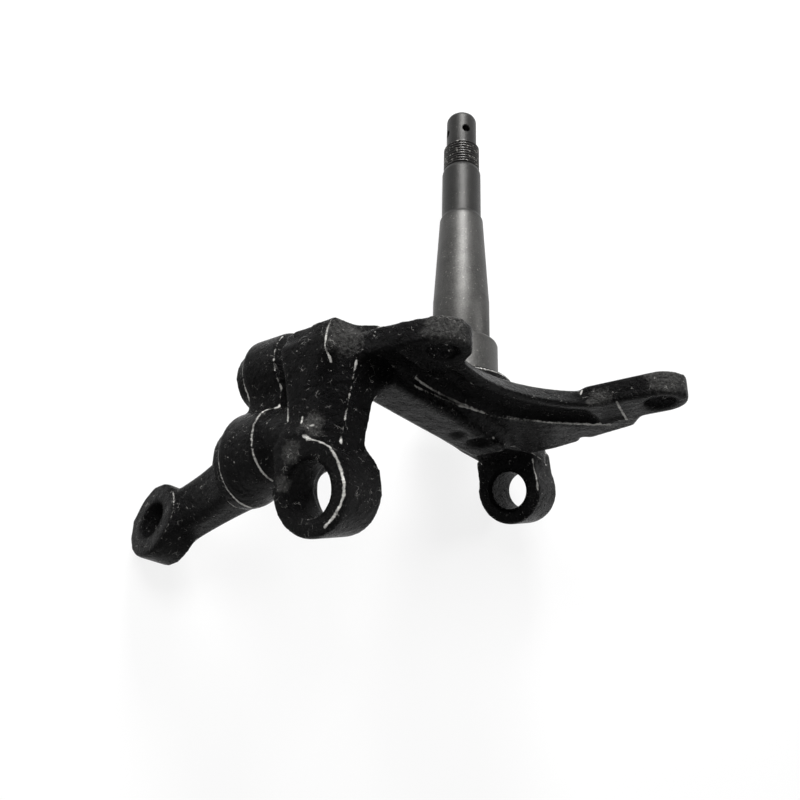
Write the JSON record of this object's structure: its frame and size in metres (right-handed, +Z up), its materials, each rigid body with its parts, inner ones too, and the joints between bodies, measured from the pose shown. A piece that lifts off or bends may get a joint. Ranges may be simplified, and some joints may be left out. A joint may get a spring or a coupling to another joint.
{
  "type": "steering knuckle",
  "caption": "Forged steering knuckle with a stub axle, two ball joint eyes, a curved wing with caliper ears and a steering arm on a two-lobed flange",
  "frame": {"origin": "on the spindle axis, in the plane of the shoulder that the inner bearing sits against", "axes": "the spindle points along -Y, +Z is up in the car towards the upper eye, and -X points to the caliper ears"},
  "size_m": [0.2077, 0.2373, 0.1678],
  "materials": {
    "forging": "semi-gloss black paint over a rough forging, with a bare dark grey machined spindle"
  },
  "bodies": {
    "root": {"knuckle": "forging"}
  },
  "joints": []
}
